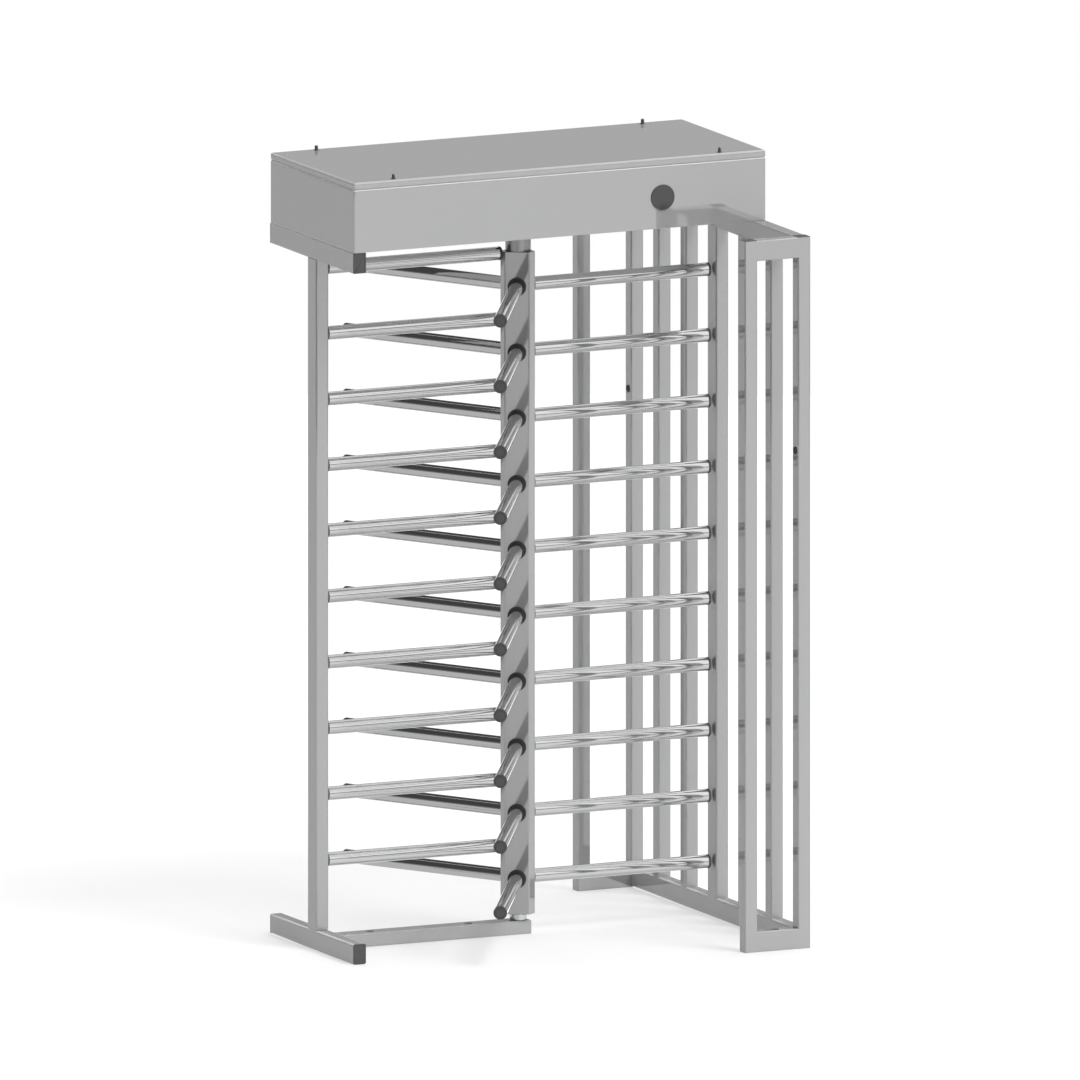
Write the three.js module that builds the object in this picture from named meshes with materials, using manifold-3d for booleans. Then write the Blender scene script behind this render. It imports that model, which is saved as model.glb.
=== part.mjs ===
// Full height turnstile with a three-wing rotor, a fixed comb, a guard cage and a header box.
// Millimetres, +Z up. The origin is on the floor at the rotor's axis, +X points to the guard
// cage and -Y to the side that carries the front indicator.
import * as THREE from "three";
import { mergeVertices, toCreasedNormals } from "three/addons/utils/BufferGeometryUtils.js";
import Module from "manifold-3d";

const wasm = await Module();
wasm.setup();

const { PI, cos, sin, sqrt, acos, asin, atan, max } = Math;
const fullTurn = 2 * PI;

// Clearances shared by all pieces
const seatGap = 0.3; // between solids that touch
const runningGap = 0.5; // between a turning piece and what carries it
const overrun = 5; // how far a cut runs past the wall that it opens

// Stand: the passage, the height of the frames and the steel tube they are made of
const passageRadius = 620; // rotor axis to the inner faces of the comb post and the guard
const frameHeight = 2093; // floor to the top of the beams, where the header box sits
const standDepth = 570; // left beams and header box, front to back
const tubeNarrow = 40;
const tubeWide = 60;
const tubeWall = 3;
const tubeInnerCorner = 1;
const beamEndReach = 30; // floor beam's free end past the rotor axis

// Rows of bars
const rowCount = 10;
const wingCount = 3;
const firstRowHeight = 165.3; // floor to the lowest rotor bar
const topRowDrop = 29; // top beam's underside to the highest comb bar
const barRadius = 20;
const tipClearance = 10; // rotor bar tips to the comb post and the guard
const combClearance = 5; // comb bar ends to the turning column
const plugEdge = 2; // rounding of the end plug's rim
const collarRim = 7; // ring where a rotor bar meets the column, past the bar's surface
const collarThickness = 6;

// Rotor column: a triangle with flattened corners
const columnFaceApothem = 38; // axis to each of the three wide faces
const columnEdgeApothem = 50; // axis to each of the three narrow faces
const columnTopDrop = 24; // top beam's underside to the column's top
const journalRadius = 25;
const hubShoulder = 12.5;
const spigotShoulder = 15.5;
const spigotDepth = 30;
const shaftProud = 8; // shaft above the gear

// Lower pivot on the floor beam
const pivotRadius = 26;
const pivotHeight = 20;
const pivotChamfer = 2;
const pinRadius = 12;
const pinLength = 32;

// Beam end caps
const capFlange = 3;
const capPlugDepth = 18;

// Guard cage
const guardSetback = 30; // guard's outer faces stand this much inside the passage radius
const returnWidth = 210; // front and back returns, outside
const postsEachSide = 2; // side posts between the middle post and each corner
const anchorRadius = 7;
const anchorAccessRadius = 12;
const anchorInset = 146; // comb post's face to the first floor beam anchor
const anchorSpacing = 315;
const grommetHeight = 1464;
const grommetBore = 4;
const grommetWall = 4.5;
const grommetRim = 2.5;
const grommetFlange = 2;
const grommetDepth = 10;

// Header box
const headerHeight = 207; // above the frames
const sheet = 2;
const lidSkirt = 20;
const rimRise = 10; // case rim inside the lid
const rimDepth = 15; // case rim below the seam
const studRadius = 5.5;
const studHeight = 14;
const studInsetX = 138; // case end to the lid studs
const studInsetY = 22; // case front and back to the lid studs
const studSides = 8;
const indicatorInset = 331; // case end to the indicators' centre
const indicatorDrop = 115; // lid top to the indicators' centre
const indicatorRadius = 37.5;
const indicatorFlange = 3;
const indicatorRim = 3.5;
const indicatorBodyDepth = 14;
const shaftHoleGap = 6; // shaft to the edges of the holes that it passes through

// Header beam: a channel, open below, that carries the mechanism
const channelWidth = 160;
const channelHeight = 40;
const channelWall = 4;
const channelEndGap = 3;

// Upper bearing housing
const housingWall = 20;
const housingRim = 15;
const housingFlange = 10;
const housingHeight = 40;

// Stop wheel and its two lock bolts
const wheelThickness = 14;
const wheelCoreRadius = 60;
const lugLength = 25;
const lugWidth = 20;
const boltWidth = 15;
const boltThickness = 12;
const boltNose = 24;
const boltShoulder = 12;
const shoulderWidth = 28;
const boltTipClearance = 3; // drawn bolt to the lug circle
const rodRadius = 6;
const rodEngagement = 40; // drawn rod inside the solenoid
const solenoidGap = 6; // bolt shoulder to the solenoid block
const solenoidLength = 70;
const solenoidWall = 24; // rod axis to the block's sides and top
const solenoidCorner = 5;

// Rotor gear, drive pinion and drive motor
const gearModule = 4;
const gearTeeth = 48;
const pinionTeeth = 18;
const gearThickness = 14;
const pressureAngle = (20 * PI) / 180;
const toothPlay = 0.15; // taken off each flank
const rootClearanceShare = 0.25; // of the module
const gearHoles = 6;
const gearHoleShare = 0.25; // hole radius, of the web between bore and teeth
const motorRadius = 32;
const motorRim = 6;
const motorFlange = 6;
const motorTopRadius = 18;
const motorShoulder = 8;
const motorShaftRadius = 6;
const motorShaftDepth = 20;
const pinionStandoff = 6; // motor's top face to the pinion

// Controller box in the header
const controllerLength = 220;
const controllerHeight = 76;
const controllerCorner = 10;
const controllerLidHeight = 20;
const controllerLidStep = 3;
const controllerEndGap = 180; // box to the case end
const controllerBeamGap = 30; // header beam to the box, along Y
const controllerWallGap = 35; // box to the back of the case
const glandRadius = 9;
const glandLength = 16;
const glandCount = 3;

// Facets
const barSides = 14;
const roundSides = 28;
const pinSides = 16;
const cornerSteps = 2;
const lugGapSteps = 9;
const creaseAngle = PI / 6;

// Heights that follow from the sizes above
const railTop = tubeWide; // foot beam and the guard's bottom rails
const topRailBottom = frameHeight - tubeWide;
const floorBeamTop = tubeNarrow;
const combTopRow = topRailBottom - topRowDrop;
const rowPitch = (combTopRow - firstRowHeight) / (rowCount - 1 + 1 / 2);
const columnBottom = floorBeamTop + seatGap + pivotHeight + seatGap;
const columnTop = topRailBottom - columnTopDrop;
const headerTop = frameHeight + headerHeight;
const caseBottom = frameHeight + seatGap;
const seamHeight = headerTop - lidSkirt;
const channelBottom = caseBottom + sheet + seatGap;
const channelTop = channelBottom + channelHeight;
const housingBottom = channelTop + seatGap;
const housingTop = housingBottom + housingHeight;
const wheelBottom = housingTop + runningGap;
const wheelMiddle = wheelBottom + wheelThickness / 2;
const gearBottom = wheelBottom + wheelThickness + seatGap;
const gearTop = gearBottom + gearThickness;
const indicatorHeight = headerTop - indicatorDrop;

// Radii and widths that follow
const tubeCorner = tubeInnerCorner + tubeWall;
const collarRadius = barRadius + collarRim;
const hubRadius = journalRadius + hubShoulder;
const spigotRadius = hubRadius - spigotShoulder;
const housingRadius = journalRadius + runningGap + housingWall;
const lugRadius = wheelCoreRadius + lugLength;
const indicatorBodyRadius = indicatorRadius - indicatorRim;
const grommetBodyRadius = grommetBore + grommetWall;
const outerHalfWidth = passageRadius + tubeNarrow;
const indicatorOffset = outerHalfWidth - indicatorInset;
const guardHalfDepth = passageRadius - guardSetback;
const wingAngle = fullTurn / wingCount;
const columnFaceHalf = (columnEdgeApothem - columnFaceApothem * cos(PI / 3)) / sin(PI / 3);
const columnCornerRadius = sqrt(columnFaceApothem ** 2 + columnFaceHalf ** 2);
const pitchRadius = (gearModule * gearTeeth) / 2;
const rootDepth = gearModule * (1 + rootClearanceShare);
const pinionDistance = pitchRadius + (gearModule * pinionTeeth) / 2;
const boltInner = lugWidth / 2 + runningGap;
const boltNoseStart = lugRadius + boltTipClearance;
const boltShoulderStart = boltNoseStart + boltNose;
const boltBack = boltShoulderStart + boltShoulder;
const rodOffset = boltInner + shoulderWidth / 2;
const solenoidStart = max(boltBack, pitchRadius + gearModule) + solenoidGap;

function material(color, metalness, roughness) {
  return new THREE.MeshStandardMaterial({ color, metalness, roughness });
}

const satinSteel = material(0xb4b4b6, 0.4, 0.45);
const polishedSteel = material(0xcfcfd1, 1, 0.18);
const machinedSteel = material(0x9a9da1, 0.9, 0.35);
const blackPlastic = material(0x46484a, 0, 0.5);
const smokedLens = material(0x3a3c3e, 0, 0.15);
const motorGrey = material(0x5b5f66, 0.5, 0.5);

// A closed three.js geometry as a solid for joins and cuts, and back.
function solidOf(geometry) {
  const plain = geometry.clone();
  plain.deleteAttribute("normal");
  plain.deleteAttribute("uv");
  const merged = mergeVertices(plain);
  return new wasm.Manifold(
    new wasm.Mesh({
      numProp: 3,
      vertProperties: merged.attributes.position.array,
      triVerts: new Uint32Array(merged.index.array),
    }),
  );
}

function geometryOf(solid) {
  const mesh = solid.getMesh();
  const geometry = new THREE.BufferGeometry();
  geometry.setAttribute("position", new THREE.BufferAttribute(mesh.vertProperties, mesh.numProp));
  geometry.setIndex(new THREE.BufferAttribute(mesh.triVerts, 1));
  return geometry;
}

function join(first, ...others) {
  return geometryOf(others.reduce((sum, part) => sum.add(solidOf(part)), solidOf(first)));
}

function cut(body, ...tools) {
  return geometryOf(tools.reduce((rest, tool) => rest.subtract(solidOf(tool)), solidOf(body)));
}

// A profile of [radius, height] points turned about +Z, listed from the bottom up. A bored
// piece lists its outside upwards, then its bore downwards, and closes on the first point.
function turned(profile, sides) {
  const points = profile.map(([radius, height]) => new THREE.Vector2(radius, height));
  return new THREE.LatheGeometry(points, sides).rotateX(PI / 2);
}

function rod(radius, length, sides) {
  return turned([[0, 0], [radius, 0], [radius, length], [0, length]], sides);
}

function bored(profile, bore, height, sides) {
  return turned([[bore, 0], ...profile, [bore, height], [bore, 0]], sides);
}

function extruded(shape, length) {
  return new THREE.ExtrudeGeometry(shape, {
    depth: length,
    bevelEnabled: false,
    curveSegments: cornerSteps,
  });
}

const polar = (radius, angle) => [radius * cos(angle), radius * sin(angle)];

function polygon(points, outline = new THREE.Shape()) {
  outline.setFromPoints(points.map(([x, y]) => new THREE.Vector2(x, y)));
  outline.closePath();
  return outline;
}

function rectangle(halfX, halfY, outline) {
  return polygon([[-halfX, -halfY], [halfX, -halfY], [halfX, halfY], [-halfX, halfY]], outline);
}

function roundHole(x, y, radius, sides) {
  const points = [];
  for (let side = 0; side < sides; side++) {
    const [dx, dy] = polar(radius, (side * fullTurn) / sides);
    points.push([x + dx, y + dy]);
  }
  return polygon(points, new THREE.Path());
}

function roundedRect(width, depth, corner, outline = new THREE.Shape()) {
  const x = width / 2 - corner;
  const y = depth / 2 - corner;
  outline.moveTo(-x, -y - corner);
  outline.lineTo(x, -y - corner);
  outline.absarc(x, -y, corner, -PI / 2, 0);
  outline.absarc(x, y, corner, 0, PI / 2);
  outline.absarc(-x, y, corner, PI / 2, PI);
  outline.absarc(-x, -y, corner, PI, PI * 1.5);
  return outline;
}

// Rectangular tube, centred on its axis, that starts at zero and runs along Z, Y or X.
function tubeUp(length, wide, deep) {
  return extruded(roundedRect(wide, deep, tubeCorner), length);
}

function tubeAcross(length, wide, tall) {
  return extruded(roundedRect(wide, tall, tubeCorner), length).rotateX(-PI / 2);
}

function tubeAlong(length, deep, tall) {
  return extruded(roundedRect(tall, deep, tubeCorner), length).rotateY(PI / 2);
}

function piece(name, geometry, finish, x = 0, y = 0, z = 0) {
  const mesh = new THREE.Mesh(toCreasedNormals(geometry, creaseAngle), finish);
  mesh.name = name;
  mesh.position.set(x, y, z);
  return mesh;
}

function group(...members) {
  const made = new THREE.Group();
  made.add(...members);
  return made;
}

// Through bore for an anchor bolt, with the wider access hole above it.
function anchorTool(tall) {
  const access = rod(anchorAccessRadius, tall + overrun - tubeWall, pinSides);
  const bore = rod(anchorRadius, tall + 2 * overrun, pinSides);
  return join(access.translate(0, 0, tubeWall), bore.translate(0, 0, -overrun));
}

// Left side: foot beam, comb post with its ten fixed bars, top beam, floor beam
function combBar() {
  const length = passageRadius - columnCornerRadius - combClearance + tubeWall;
  const profile = [
    [0, 0],
    [barRadius, 0],
    [barRadius, length - plugEdge],
    [barRadius - plugEdge, length],
    [0, length],
  ];
  return turned(profile, barSides).rotateY(PI / 2).translate(-passageRadius - tubeWall, 0, 0);
}

function combPost() {
  const length = topRailBottom - railTop - 2 * seatGap;
  const post = tubeUp(length, tubeNarrow, tubeWide);
  post.translate(-passageRadius - tubeNarrow / 2, 0, railTop + seatGap);
  const bars = [];
  for (let row = 0; row < rowCount; row++) {
    const height = firstRowHeight + (row + 1 / 2) * rowPitch;
    bars.push(combBar().translate(0, 0, height));
  }
  return piece("comb_post", join(post, ...bars), satinSteel);
}

function sideBeam(name, bottom) {
  const length = standDepth - 2 * (capFlange + seatGap);
  const outline = roundedRect(tubeNarrow, tubeWide, tubeCorner);
  const inside = [tubeNarrow, tubeWide].map((size) => size - 2 * tubeWall);
  outline.holes.push(roundedRect(...inside, tubeInnerCorner, new THREE.Path()));
  const beam = extruded(outline, length).rotateX(-PI / 2);
  const x = -passageRadius - tubeNarrow / 2;
  return piece(name, beam, satinSteel, x, -length / 2, bottom + tubeWide / 2);
}

function beamCap(name, bottom, side) {
  const inner = 2 * (tubeWall + seatGap);
  const flange = tubeAcross(capFlange, tubeNarrow, tubeWide);
  const plug = tubeAcross(capPlugDepth + capFlange, tubeNarrow - inner, tubeWide - inner);
  const cap = piece(name, join(flange, plug), blackPlastic);
  cap.rotation.z = side > 0 ? PI : 0;
  cap.position.set(-passageRadius - tubeNarrow / 2, (side * standDepth) / 2, bottom + tubeWide / 2);
  return cap;
}

function floorBeam() {
  const length = passageRadius + beamEndReach - seatGap;
  const beam = tubeAlong(length, tubeWide, tubeNarrow);
  beam.translate(-passageRadius + seatGap, 0, tubeNarrow / 2);
  const tools = [0, 1].map((step) =>
    anchorTool(tubeNarrow).translate(-passageRadius + anchorInset + step * anchorSpacing, 0, 0),
  );
  return piece("floor_beam", cut(beam, ...tools), satinSteel);
}

function leftStand() {
  const caps = [-1, 1].flatMap((side) => {
    const end = side < 0 ? "front" : "back";
    return [
      beamCap("foot_beam_cap_" + end, 0, side),
      beamCap("top_beam_cap_" + end, topRailBottom, side),
    ];
  });
  return group(
    sideBeam("left_foot_beam", 0),
    sideBeam("left_top_beam", topRailBottom),
    combPost(),
    floorBeam(),
    ...caps,
  );
}

// Guard cage: two returns with the corner posts, and the side panel between them
function guardReturn(name, side) {
  const cornerX = passageRadius + tubeNarrow / 2;
  const endX = outerHalfWidth - returnWidth + tubeNarrow / 2;
  const railLength = returnWidth - 2 * tubeNarrow + 2 * tubeWall;
  const railX = endX + tubeNarrow / 2 - tubeWall;
  const posts = [cornerX, endX].map((x) =>
    tubeUp(frameHeight, tubeNarrow, tubeNarrow).translate(x, 0, 0),
  );
  const rails = [0, topRailBottom].map((bottom) =>
    tubeAlong(railLength, tubeNarrow, tubeWide).translate(railX, 0, bottom + tubeWide / 2),
  );
  const anchor = anchorTool(tubeWide).translate((cornerX + endX) / 2, 0, 0);
  const outlet = rod(grommetBodyRadius + seatGap, grommetDepth + overrun, pinSides);
  outlet.rotateY(PI / 2).translate(passageRadius - overrun, 0, grommetHeight);
  const frame = cut(join(...posts, ...rails), anchor, outlet);
  return piece(name, frame, satinSteel, 0, side * (guardHalfDepth - tubeNarrow / 2), 0);
}

function guardSidePanel() {
  const innerHalf = guardHalfDepth - tubeNarrow;
  const clear = (innerHalf - tubeWide / 2 - postsEachSide * tubeNarrow) / (postsEachSide + 1);
  const length = topRailBottom - railTop + 2 * tubeWall;
  const posts = [tubeUp(length, tubeNarrow, tubeWide)];
  for (let count = 1; count <= postsEachSide; count++) {
    const y = tubeWide / 2 + count * clear + (count - 1 / 2) * tubeNarrow;
    posts.push(tubeUp(length, tubeNarrow, tubeNarrow).translate(0, y, 0));
    posts.push(tubeUp(length, tubeNarrow, tubeNarrow).translate(0, -y, 0));
  }
  posts.forEach((post) => post.translate(0, 0, railTop - tubeWall));
  const railLength = 2 * (innerHalf - seatGap);
  const rails = [0, topRailBottom].map((bottom) =>
    tubeAcross(railLength, tubeNarrow, tubeWide).translate(0, -railLength / 2, bottom + tubeWide / 2),
  );
  const x = passageRadius + tubeNarrow / 2;
  return piece("guard_side_panel", join(...rails, ...posts), satinSteel, x);
}

function cableGrommet(name, side) {
  const length = grommetFlange + grommetDepth - seatGap;
  const profile = [
    [grommetBodyRadius + grommetRim, 0],
    [grommetBodyRadius + grommetRim, grommetFlange],
    [grommetBodyRadius, grommetFlange],
    [grommetBodyRadius, length],
  ];
  const geometry = bored(profile, grommetBore, length, pinSides).rotateY(PI / 2);
  const x = passageRadius - grommetFlange - seatGap;
  const y = side * (guardHalfDepth - tubeNarrow / 2);
  return piece(name, geometry, blackPlastic, x, y, grommetHeight);
}

function guardCage() {
  return group(
    guardSidePanel(),
    guardReturn("guard_front_return", -1),
    guardReturn("guard_back_return", 1),
    cableGrommet("front_cable_grommet", -1),
    cableGrommet("back_cable_grommet", 1),
  );
}

// Rotor: column, three wings of bars, shaft, stop wheel and gear
function columnShape() {
  const points = [];
  const half = atan(columnFaceHalf / columnFaceApothem);
  for (let wing = 0; wing < wingCount; wing++) {
    for (const turn of [-half, half]) {
      points.push(polar(columnCornerRadius, wing * wingAngle + turn));
    }
  }
  return polygon(points);
}

function rotorColumn() {
  const length = columnTop - columnBottom;
  const pinDepth = pinLength + runningGap;
  const pinBore = rod(pinRadius + runningGap, pinDepth + overrun, pinSides);
  const spigotBore = rod(spigotRadius + seatGap, spigotDepth + seatGap + overrun, roundSides);
  const column = cut(
    extruded(columnShape(), length),
    pinBore.translate(0, 0, -overrun),
    spigotBore.translate(0, 0, length - spigotDepth - seatGap),
  );
  return piece("rotor_column", column, satinSteel, 0, 0, columnBottom);
}

function rotorBar() {
  const length = passageRadius - tipClearance - columnFaceApothem - seatGap;
  const profile = [
    [0, 0],
    [collarRadius, 0],
    [collarRadius, collarThickness],
    [barRadius, collarThickness],
    [barRadius, length - plugEdge],
    [barRadius - plugEdge, length],
    [0, length],
  ];
  return turned(profile, barSides).rotateY(PI / 2).translate(columnFaceApothem + seatGap, 0, 0);
}

function rotorWing(wing) {
  const letter = String.fromCharCode("a".charCodeAt(0) + wing);
  const bars = [];
  for (let row = 0; row < rowCount; row++) {
    const name = "rotor_bar_" + letter + String(row + 1).padStart(2, "0");
    bars.push(piece(name, rotorBar(), polishedSteel, 0, 0, firstRowHeight + row * rowPitch));
  }
  const made = group(...bars);
  made.rotation.z = wing * wingAngle;
  return made;
}

function rotorShaft() {
  const shoulder = channelTop - channelWall - seatGap;
  const bottom = columnTop - spigotDepth;
  const heights = [columnTop + seatGap, shoulder, gearTop + shaftProud].map((z) => z - bottom);
  const profile = [
    [0, 0],
    [spigotRadius, 0],
    [spigotRadius, heights[0]],
    [hubRadius, heights[0]],
    [hubRadius, heights[1]],
    [journalRadius, heights[1]],
    [journalRadius, heights[2]],
    [0, heights[2]],
  ];
  return piece("rotor_shaft", turned(profile, roundSides), machinedSteel, 0, 0, bottom);
}

// Round wheel with one square-sided lug for each wing.
function stopWheel() {
  const points = [];
  const rootTurn = asin(lugWidth / 2 / wheelCoreRadius);
  const tipTurn = asin(lugWidth / 2 / lugRadius);
  const freeTurn = wingAngle - 2 * rootTurn;
  for (let wing = 0; wing < wingCount; wing++) {
    const angle = wing * wingAngle;
    points.push(polar(lugRadius, angle - tipTurn), polar(lugRadius, angle + tipTurn));
    points.push(polar(wheelCoreRadius, angle + rootTurn));
    for (let step = 1; step <= lugGapSteps; step++) {
      points.push(polar(wheelCoreRadius, angle + rootTurn + (freeTurn * step) / lugGapSteps));
    }
  }
  const outline = polygon(points);
  outline.holes.push(roundHole(0, 0, journalRadius + seatGap, roundSides));
  return piece("stop_wheel", extruded(outline, wheelThickness), machinedSteel, 0, 0, wheelBottom);
}

// Involute spur gear outline with a tooth centred on firstTooth.
function gearShape(teeth, firstTooth) {
  const pitch = (gearModule * teeth) / 2;
  const base = pitch * cos(pressureAngle);
  const root = pitch - rootDepth;
  const involute = (radius) => sqrt((radius / base) ** 2 - 1) - acos(base / radius);
  const pitchTurn = PI / (2 * teeth) - toothPlay / pitch;
  const flankTurn = (radius) => pitchTurn + involute(pitch) - involute(max(radius, base));
  const radii = [...new Set([root, max(root, base), pitch, pitch + gearModule])];
  const points = [];
  for (let tooth = 0; tooth < teeth; tooth++) {
    const middle = firstTooth + (tooth * fullTurn) / teeth;
    const rising = radii.map((radius) => polar(radius, middle - flankTurn(radius)));
    const falling = radii.map((radius) => polar(radius, middle + flankTurn(radius)));
    points.push(...rising, ...falling.reverse());
  }
  return polygon(points);
}

function rotorGear() {
  const outline = gearShape(gearTeeth, PI);
  const bore = journalRadius + seatGap;
  const webEnd = pitchRadius - rootDepth;
  outline.holes.push(roundHole(0, 0, bore, roundSides));
  for (let count = 0; count < gearHoles; count++) {
    const [x, y] = polar((bore + webEnd) / 2, (count * fullTurn) / gearHoles);
    outline.holes.push(roundHole(x, y, (webEnd - bore) * gearHoleShare, pinSides));
  }
  return piece("rotor_gear", extruded(outline, gearThickness), machinedSteel, 0, 0, gearBottom);
}

function rotor() {
  const wings = [];
  for (let wing = 0; wing < wingCount; wing++) wings.push(rotorWing(wing));
  return group(rotorColumn(), rotorShaft(), stopWheel(), rotorGear(), ...wings);
}

function lowerPivot() {
  const top = pivotHeight + seatGap + pinLength;
  const profile = [
    [0, 0],
    [pivotRadius, 0],
    [pivotRadius, pivotHeight - pivotChamfer],
    [pivotRadius - pivotChamfer, pivotHeight],
    [pinRadius, pivotHeight],
    [pinRadius, top],
    [0, top],
  ];
  const z = floorBeamTop + seatGap;
  return piece("lower_pivot", turned(profile, roundSides), polishedSteel, 0, 0, z);
}

// Header box
function wallRing(offset, thickness, bottom, top) {
  const x = outerHalfWidth - offset;
  const y = standDepth / 2 - offset;
  const outline = rectangle(x, y);
  outline.holes.push(rectangle(x - thickness, y - thickness, new THREE.Path()));
  return extruded(outline, top - bottom).translate(0, 0, bottom);
}

function plate(bottom, ...holes) {
  const outline = rectangle(outerHalfWidth, standDepth / 2);
  outline.holes.push(...holes);
  return extruded(outline, sheet).translate(0, 0, bottom);
}

function headerCase() {
  const wallTop = seamHeight - seatGap;
  const rimOffset = sheet + seatGap;
  const floor = plate(caseBottom, roundHole(0, 0, hubRadius + shaftHoleGap, roundSides));
  const walls = wallRing(0, sheet, caseBottom, wallTop);
  const joggle = wallRing(sheet / 2, rimOffset + sheet / 2, seamHeight - rimDepth, wallTop);
  const rim = wallRing(rimOffset, sheet, seamHeight - rimDepth, seamHeight + rimRise);
  const hole = rod(indicatorBodyRadius + seatGap, standDepth + 2 * overrun, roundSides);
  hole.rotateX(-PI / 2).translate(indicatorOffset, -standDepth / 2 - overrun, indicatorHeight);
  return piece("header_case", cut(join(floor, walls, joggle, rim), hole), satinSteel);
}

function headerLid() {
  const top = plate(headerTop - sheet);
  const skirt = wallRing(0, sheet, seamHeight, headerTop);
  const studs = [-1, 1].flatMap((right) =>
    [-1, 1].map((back) => {
      const x = right * (outerHalfWidth - studInsetX);
      const y = back * (standDepth / 2 - studInsetY);
      return rod(studRadius, studHeight + sheet, studSides).translate(x, y, headerTop - sheet);
    }),
  );
  return piece("header_lid", join(top, skirt, ...studs), satinSteel);
}

function indicatorLens(name, side) {
  const depth = indicatorFlange + seatGap + indicatorBodyDepth;
  const profile = [
    [0, 0],
    [indicatorRadius - plugEdge, 0],
    [indicatorRadius, plugEdge],
    [indicatorRadius, indicatorFlange],
    [indicatorBodyRadius, indicatorFlange],
    [indicatorBodyRadius, depth],
    [0, depth],
  ];
  const lens = piece(name, turned(profile, roundSides), smokedLens);
  lens.rotation.x = side < 0 ? -PI / 2 : PI / 2;
  const y = side * (standDepth / 2 + seatGap + indicatorFlange);
  lens.position.set(indicatorOffset, y, indicatorHeight);
  return lens;
}

function headerBeam() {
  const half = channelWidth / 2;
  const inner = half - channelWall;
  const outline = polygon([
    [0, -half],
    [0, -inner],
    [channelWall - channelHeight, -inner],
    [channelWall - channelHeight, inner],
    [0, inner],
    [0, half],
    [-channelHeight, half],
    [-channelHeight, -half],
  ]);
  const length = 2 * (outerHalfWidth - sheet - channelEndGap);
  const channel = extruded(outline, length).rotateY(PI / 2).translate(-length / 2, 0, 0);
  const hole = rod(journalRadius + shaftHoleGap, channelWall + 2 * overrun, roundSides);
  hole.translate(0, 0, channelHeight - channelWall - overrun);
  return piece("header_beam", cut(channel, hole), machinedSteel, 0, 0, channelBottom);
}

function upperBearingHousing() {
  const profile = [
    [housingRadius + housingRim, 0],
    [housingRadius + housingRim, housingFlange],
    [housingRadius, housingFlange],
    [housingRadius, housingHeight],
  ];
  const geometry = bored(profile, journalRadius + runningGap, housingHeight, roundSides);
  return piece("upper_bearing_housing", geometry, machinedSteel, 0, 0, housingBottom);
}

function driveMotor() {
  const height = gearBottom - pinionStandoff - housingBottom;
  const bore = motorShaftRadius + runningGap;
  const blind = height - motorShaftDepth - runningGap;
  const profile = [
    [0, 0],
    [motorRadius + motorRim, 0],
    [motorRadius + motorRim, motorFlange],
    [motorRadius, motorFlange],
    [motorRadius, height - motorShoulder],
    [motorTopRadius, height - motorShoulder],
    [motorTopRadius, height],
    [bore, height],
    [bore, blind],
    [0, blind],
  ];
  const body = turned(profile, roundSides);
  return piece("drive_motor", body, motorGrey, -pinionDistance, 0, housingBottom);
}

function drivePinion() {
  const toothed = extruded(gearShape(pinionTeeth, PI / pinionTeeth), gearThickness);
  const shaftLength = pinionStandoff + motorShaftDepth + gearThickness / 2;
  const shaft = rod(motorShaftRadius, shaftLength, pinSides);
  shaft.translate(0, 0, -pinionStandoff - motorShaftDepth);
  return piece("drive_pinion", join(toothed, shaft), machinedSteel, -pinionDistance, 0, gearBottom);
}

// A lock bolt: a flat nose that stops one side of a lug, a shoulder and the solenoid's rod.
function lockBolt(name, side) {
  const outline = polygon([
    [boltNoseStart, boltInner],
    [boltBack, boltInner],
    [boltBack, boltInner + shoulderWidth],
    [boltShoulderStart, boltInner + shoulderWidth],
    [boltShoulderStart, boltInner + boltWidth],
    [boltNoseStart, boltInner + boltWidth],
  ]);
  const flat = extruded(outline, boltThickness).translate(0, 0, -boltThickness / 2);
  const rodStart = boltBack - boltShoulder / 2;
  const plunger = rod(rodRadius, solenoidStart + rodEngagement - rodStart, pinSides);
  plunger.rotateY(PI / 2).translate(rodStart, rodOffset, 0);
  const bolt = join(flat, plunger);
  if (side < 0) bolt.rotateX(PI);
  return piece(name, bolt, machinedSteel, 0, 0, wheelMiddle);
}

function twinLockSolenoid() {
  const wide = 2 * (rodOffset + solenoidWall);
  const rodHeight = wheelMiddle - housingBottom;
  const tall = rodHeight + solenoidWall;
  const block = extruded(roundedRect(tall, wide, solenoidCorner), solenoidLength);
  block.rotateY(PI / 2).translate(solenoidStart, 0, tall / 2);
  const bores = [-1, 1].map((side) => {
    const bore = rod(rodRadius + runningGap, solenoidLength + 2 * overrun, pinSides);
    return bore.rotateY(PI / 2).translate(solenoidStart - overrun, side * rodOffset, rodHeight);
  });
  return piece("twin_lock_solenoid", cut(block, ...bores), motorGrey, 0, 0, housingBottom);
}

function controllerBox() {
  const depth = (standDepth - channelWidth) / 2 - controllerBeamGap - controllerWallGap;
  const outline = roundedRect(controllerLength, depth, controllerCorner);
  const step = 2 * controllerLidStep;
  const lidOutline = roundedRect(controllerLength + step, depth + step, controllerCorner);
  const lidBottom = controllerHeight - controllerLidHeight;
  const lid = extruded(lidOutline, controllerLidHeight).translate(0, 0, lidBottom);
  const glands = [];
  for (let count = 0; count < glandCount; count++) {
    const y = ((count + 1 / 2) / glandCount - 1 / 2) * depth;
    const gland = rod(glandRadius, glandLength + controllerCorner, pinSides).rotateY(-PI / 2);
    glands.push(gland.translate(controllerCorner - controllerLength / 2, y, lidBottom / 2));
  }
  const box = join(extruded(outline, controllerHeight), lid, ...glands);
  const x = outerHalfWidth - controllerEndGap - controllerLength / 2;
  const y = standDepth / 2 - controllerWallGap - depth / 2;
  return piece("controller_box", box, blackPlastic, x, y, caseBottom + sheet + seatGap);
}

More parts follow.
